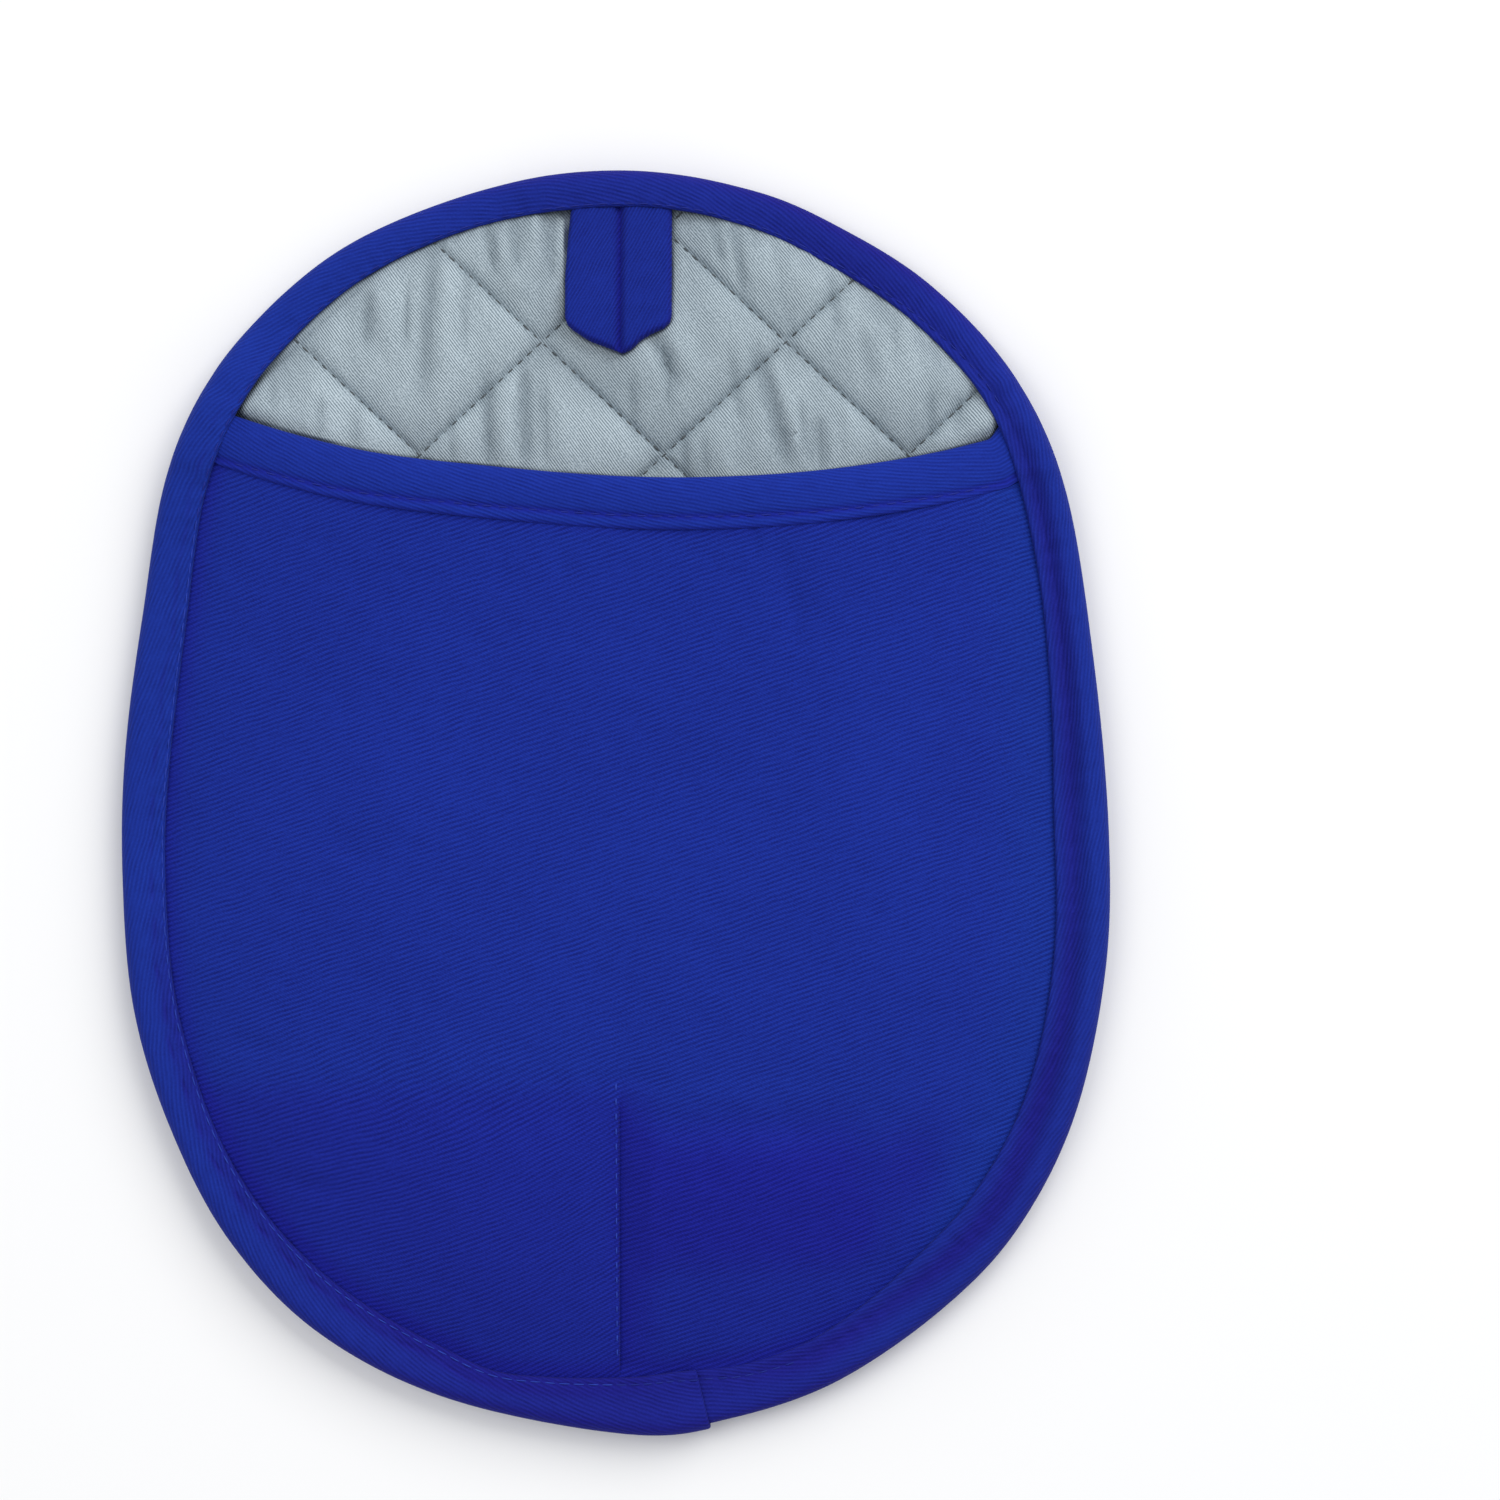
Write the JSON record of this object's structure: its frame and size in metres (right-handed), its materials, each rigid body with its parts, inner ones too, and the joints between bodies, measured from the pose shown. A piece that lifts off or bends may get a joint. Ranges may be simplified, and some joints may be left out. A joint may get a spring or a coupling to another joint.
{
  "type": "pot holder",
  "caption": "Padded oval pot holder with a silicone face, quilted lining, hand pocket, bound edge and folded hanging loop.",
  "frame": {"origin": "middle of the holder's box on the surface it lies on", "axes": "+Y towards the hanging loop, +Z out of the pocket side, +X to the right as the pocket side is seen"},
  "size_m": [0.179, 0.2291, 0.0176],
  "materials": {
    "blue_silicone": "moulded silicone, satin",
    "blue_canvas": "coarse plain weave",
    "grey_lining": "fine brushed twill, quilted",
    "blue_twill": "cotton twill"
  },
  "bodies": {
    "root": {"silicone_face": "blue_silicone", "back_panel": "blue_canvas", "quilted_lining": "grey_lining", "pocket": "blue_twill", "pocket_binding": "blue_twill", "edge_binding": "blue_twill", "hanging_loop": "blue_twill"}
  },
  "joints": []
}
